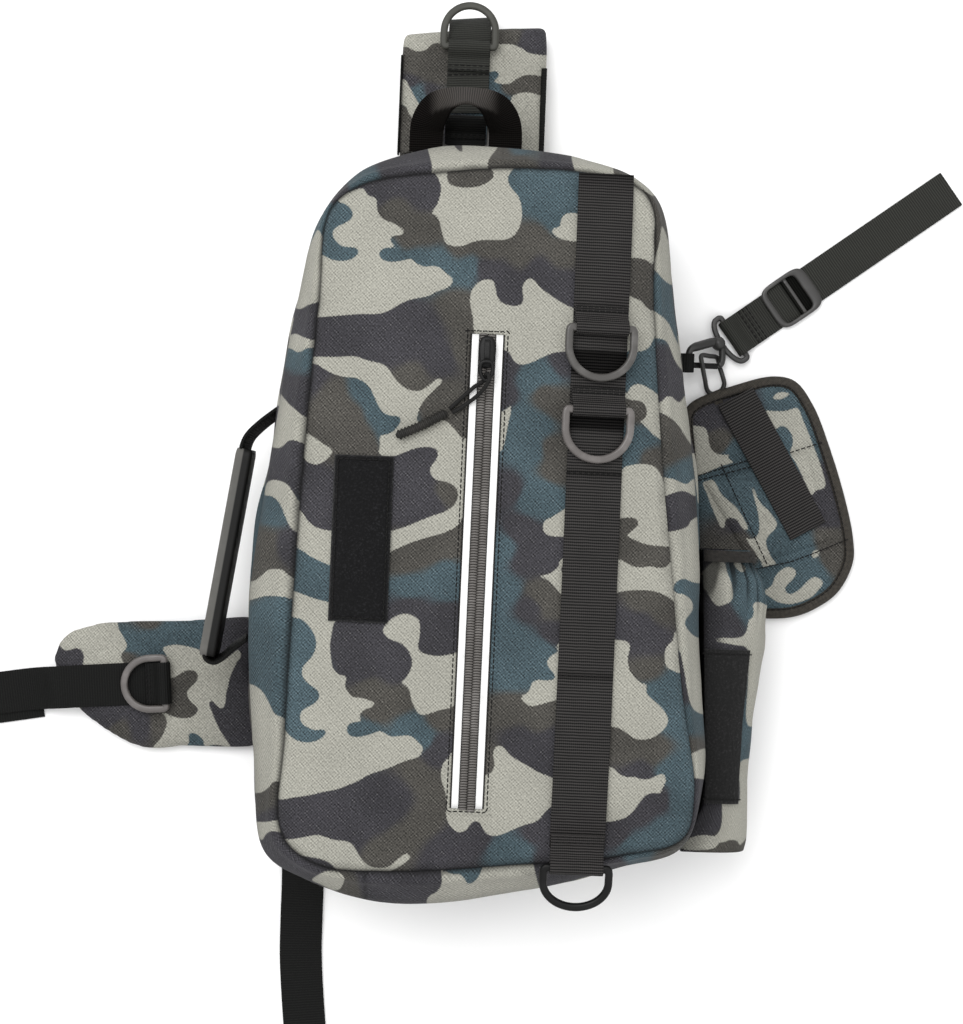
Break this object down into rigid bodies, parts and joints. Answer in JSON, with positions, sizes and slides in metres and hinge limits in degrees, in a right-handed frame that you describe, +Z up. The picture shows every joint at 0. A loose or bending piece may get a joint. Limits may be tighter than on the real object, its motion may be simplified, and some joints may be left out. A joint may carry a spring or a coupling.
{
  "type": "fishing sling bag",
  "caption": "Camouflage cloth sling bag for fishing tackle, lying on its back, with front zip, webbing, D-rings, grab handles, side pocket, padded strap and clipped-on pouch.",
  "frame": {"origin": "centre of the back panel's underside, on the surface that the bag lies on", "axes": "+Z up from the back panel to the front, +Y to the bag's top, +X to the side pocket"},
  "size_m": [0.5915, 0.6305, 0.1473],
  "materials": {
    "camo_cloth": "coated oxford weave, woodland camouflage in greige, slate blue, olive grey and navy",
    "back_cloth": "black padded mesh",
    "webbing": "ribbed black-brown nylon webbing",
    "dark_plastic": "moulded dark grey plastic, satin",
    "zip_tape": "grey woven zip tape",
    "zip_coil": "grey nylon zip coil",
    "reflective": "white reflective tape",
    "hook_loop": "black loop pile",
    "cord": "black braided cord and ribbed sleeve",
    "grip_rubber": "black rubberised grip"
  },
  "bodies": {
    "bag": {"front_panel": "camo_cloth", "front_gusset": "camo_cloth", "rear_gusset": "camo_cloth", "back_panel": "back_cloth", "zip_tape": "zip_tape", "zip_chain": "zip_coil", "reflective_strip_left": "reflective", "reflective_strip_right": "reflective", "zip_slider": "dark_plastic", "zip_pull_eye": "dark_plastic", "zip_pull_cord": "cord", "zip_pull_end": "cord", "hook_loop_patch_front": "hook_loop", "front_webbing": "webbing", "ring_fold_front_upper": "webbing", "ring_fold_front_lower": "webbing", "ring_fold_front_bottom": "webbing", "shoulder_strap": "camo_cloth", "strap_webbing": "webbing", "ring_fold_strap": "webbing", "grab_handle": "webbing", "d_ring_strap_base": "dark_plastic", "ring_fold_strap_base": "webbing", "side_handle_grip": "grip_rubber", "side_handle_webbing_upper": "webbing", "side_handle_webbing_lower": "webbing", "wing_pad": "camo_cloth", "wing_webbing": "webbing", "ring_fold_wing": "webbing", "lower_strap": "webbing", "side_pocket": "camo_cloth", "pocket_binding": "webbing", "hook_loop_patch_pocket": "hook_loop", "pouch_panel": "camo_cloth", "pouch_binding": "webbing", "pouch_pocket": "camo_cloth", "pouch_webbing": "webbing", "pouch_ring": "dark_plastic", "pouch_tab": "webbing", "side_tab": "webbing", "hook_body": "dark_plastic", "hook_gate": "dark_plastic", "swivel_eye": "dark_plastic", "clip_strap": "webbing", "tri_glide": "dark_plastic"},
    "ring_front_upper": {"d_ring_front_upper": "dark_plastic"},
    "ring_front_lower": {"d_ring_front_lower": "dark_plastic"},
    "ring_front_bottom": {"d_ring_front_bottom": "dark_plastic"},
    "ring_strap": {"d_ring_strap": "dark_plastic"},
    "ring_wing": {"d_ring_wing": "dark_plastic"}
  },
  "joints": [
    {"name": "ring_front_upper_swing", "type": "hinge", "parent": "bag", "child": "ring_front_upper", "pos_m": [0.06584, 0.10806, 0.14003], "axis": [-0.9851, 0, 0.1718], "range_deg": [0, 150]},
    {"name": "ring_front_lower_swing", "type": "hinge", "parent": "bag", "child": "ring_front_lower", "pos_m": [0.06565, 0.06406, 0.1404], "axis": [-0.9856, 0, 0.1692], "range_deg": [0, 150]},
    {"name": "ring_front_bottom_swing", "type": "hinge", "parent": "bag", "child": "ring_front_bottom", "pos_m": [0.06408, -0.18391, 0.1296], "axis": [-0.9995, 0, 0.0313], "range_deg": [0, 150]},
    {"name": "ring_strap_swing", "type": "hinge", "parent": "bag", "child": "ring_strap", "pos_m": [-0.013, 0.278, 0.02915], "axis": [1, 0, 0], "range_deg": [0, 150]},
    {"name": "ring_wing_swing", "type": "hinge", "parent": "bag", "child": "ring_wing", "pos_m": [-0.177, -0.101, 0.01795], "axis": [-0.0827, 0.9966, 0], "range_deg": [0, 150]}
  ]
}
